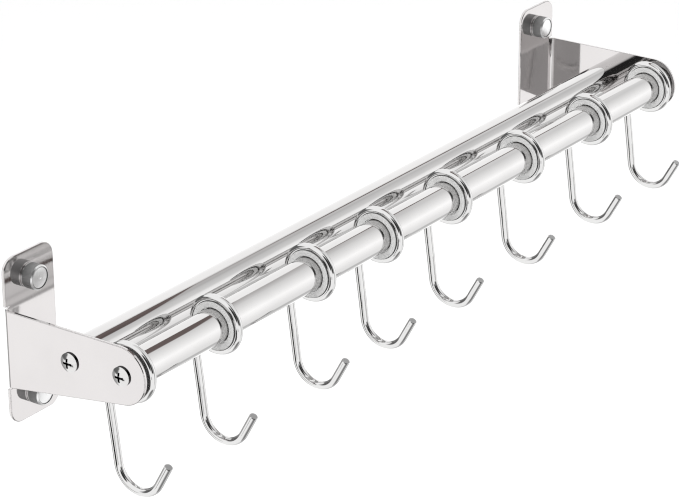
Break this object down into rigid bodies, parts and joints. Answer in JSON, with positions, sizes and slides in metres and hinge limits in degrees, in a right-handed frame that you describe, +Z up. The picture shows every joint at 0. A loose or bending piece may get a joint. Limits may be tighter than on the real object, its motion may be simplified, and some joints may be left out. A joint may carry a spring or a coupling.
{
  "type": "pot rack",
  "caption": "Wall-mounted rack of polished tube rails on folded end brackets, with wire hooks that slide and swing on plastic bushings.",
  "frame": {"origin": "centre of the rectangle of the wall screws' holes, in the wall plane at the back of the bracket plates", "axes": "+X along the rails, to the right as seen from the room; +Y into the wall; +Z up"},
  "size_m": [0.5242, 0.1013, 0.1085],
  "materials": {
    "bracket_steel": "mirror-polished sheet steel",
    "rail_steel": "mirror-polished steel tube",
    "hook_steel": "chromed steel wire",
    "screw_steel": "plated pan-head screw",
    "cap_steel": "chromed pressed cap",
    "washer_plastic": "moulded white plastic",
    "plug_plastic": "moulded black plastic",
    "bushing_plastic": "moulded grey, slightly cloudy plastic"
  },
  "bodies": {
    "rack_frame": {"left_bracket": "bracket_steel", "right_bracket": "bracket_steel", "front_rail": "rail_steel", "rear_rail": "rail_steel", "front_rail_left_plug": "plug_plastic", "front_rail_right_plug": "plug_plastic", "rear_rail_left_plug": "plug_plastic", "rear_rail_right_plug": "plug_plastic", "rail_screws": "screw_steel", "left_lower_cap_washer": "washer_plastic", "left_upper_cap_washer": "washer_plastic", "right_lower_cap_washer": "washer_plastic", "right_upper_cap_washer": "washer_plastic", "left_lower_screw_cap": "cap_steel", "left_upper_screw_cap": "cap_steel", "right_lower_screw_cap": "cap_steel", "right_upper_screw_cap": "cap_steel"},
    "bushing_1_body": {"bushing_1": "bushing_plastic"},
    "hook_1_body": {"hook_1": "hook_steel"},
    "bushing_2_body": {"bushing_2": "bushing_plastic"},
    "hook_2_body": {"hook_2": "hook_steel"},
    "bushing_3_body": {"bushing_3": "bushing_plastic"},
    "hook_3_body": {"hook_3": "hook_steel"},
    "bushing_4_body": {"bushing_4": "bushing_plastic"},
    "hook_4_body": {"hook_4": "hook_steel"},
    "bushing_5_body": {"bushing_5": "bushing_plastic"},
    "hook_5_body": {"hook_5": "hook_steel"},
    "bushing_6_body": {"bushing_6": "bushing_plastic"},
    "hook_6_body": {"hook_6": "hook_steel"},
    "bushing_7_body": {"bushing_7": "bushing_plastic"},
    "hook_7_body": {"hook_7": "hook_steel"},
    "bushing_8_body": {"bushing_8": "bushing_plastic"},
    "hook_8_body": {"hook_8": "hook_steel"}
  },
  "joints": [
    {"name": "bushing_1_slide", "type": "slide", "parent": "rack_frame", "child": "bushing_1_body", "axis": [1, 0, 0], "range_m": [-0.00149, 0.06292]},
    {"name": "hook_1_swing", "type": "hinge", "parent": "bushing_1_body", "child": "hook_1_body", "pos_m": [-0.25351, -0.0767, 0.0036], "axis": [1, 0, 0], "range_deg": [-270, 37]},
    {"name": "bushing_2_slide", "type": "slide", "parent": "rack_frame", "child": "bushing_2_body", "axis": [1, 0, 0], "range_m": [-0.06292, 0.07477]},
    {"name": "hook_2_swing", "type": "hinge", "parent": "bushing_2_body", "child": "hook_2_body", "pos_m": [-0.18489, -0.0767, 0.0036], "axis": [1, 0, 0], "range_deg": [-270, 37]},
    {"name": "bushing_3_slide", "type": "slide", "parent": "rack_frame", "child": "bushing_3_body", "axis": [1, 0, 0], "range_m": [-0.07477, 0.0571]},
    {"name": "hook_3_swing", "type": "hinge", "parent": "bushing_3_body", "child": "hook_3_body", "pos_m": [-0.10442, -0.0767, 0.0036], "axis": [1, 0, 0], "range_deg": [-270, 37]},
    {"name": "bushing_4_slide", "type": "slide", "parent": "rack_frame", "child": "bushing_4_body", "axis": [1, 0, 0], "range_m": [-0.0571, 0.06201]},
    {"name": "hook_4_swing", "type": "hinge", "parent": "bushing_4_body", "child": "hook_4_body", "pos_m": [-0.04161, -0.0767, 0.0036], "axis": [1, 0, 0], "range_deg": [-270, 37]},
    {"name": "bushing_5_slide", "type": "slide", "parent": "rack_frame", "child": "bushing_5_body", "axis": [1, 0, 0], "range_m": [-0.06201, 0.07079]},
    {"name": "hook_5_swing", "type": "hinge", "parent": "bushing_5_body", "child": "hook_5_body", "pos_m": [0.02609, -0.0767, 0.0036], "axis": [1, 0, 0], "range_deg": [-270, 37]},
    {"name": "bushing_6_slide", "type": "slide", "parent": "rack_frame", "child": "bushing_6_body", "axis": [1, 0, 0], "range_m": [-0.07079, 0.07104]},
    {"name": "hook_6_swing", "type": "hinge", "parent": "bushing_6_body", "child": "hook_6_body", "pos_m": [0.10258, -0.0767, 0.0036], "axis": [1, 0, 0], "range_deg": [-270, 37]},
    {"name": "bushing_7_slide", "type": "slide", "parent": "rack_frame", "child": "bushing_7_body", "axis": [1, 0, 0], "range_m": [-0.07104, 0.06517]},
    {"name": "hook_7_swing", "type": "hinge", "parent": "bushing_7_body", "child": "hook_7_body", "pos_m": [0.17932, -0.0767, 0.0036], "axis": [1, 0, 0], "range_deg": [-270, 37]},
    {"name": "bushing_8_slide", "type": "slide", "parent": "rack_frame", "child": "bushing_8_body", "axis": [1, 0, 0], "range_m": [-0.06517, 0.00481]},
    {"name": "hook_8_swing", "type": "hinge", "parent": "bushing_8_body", "child": "hook_8_body", "pos_m": [0.25019, -0.0767, 0.0036], "axis": [1, 0, 0], "range_deg": [-270, 37]}
  ]
}
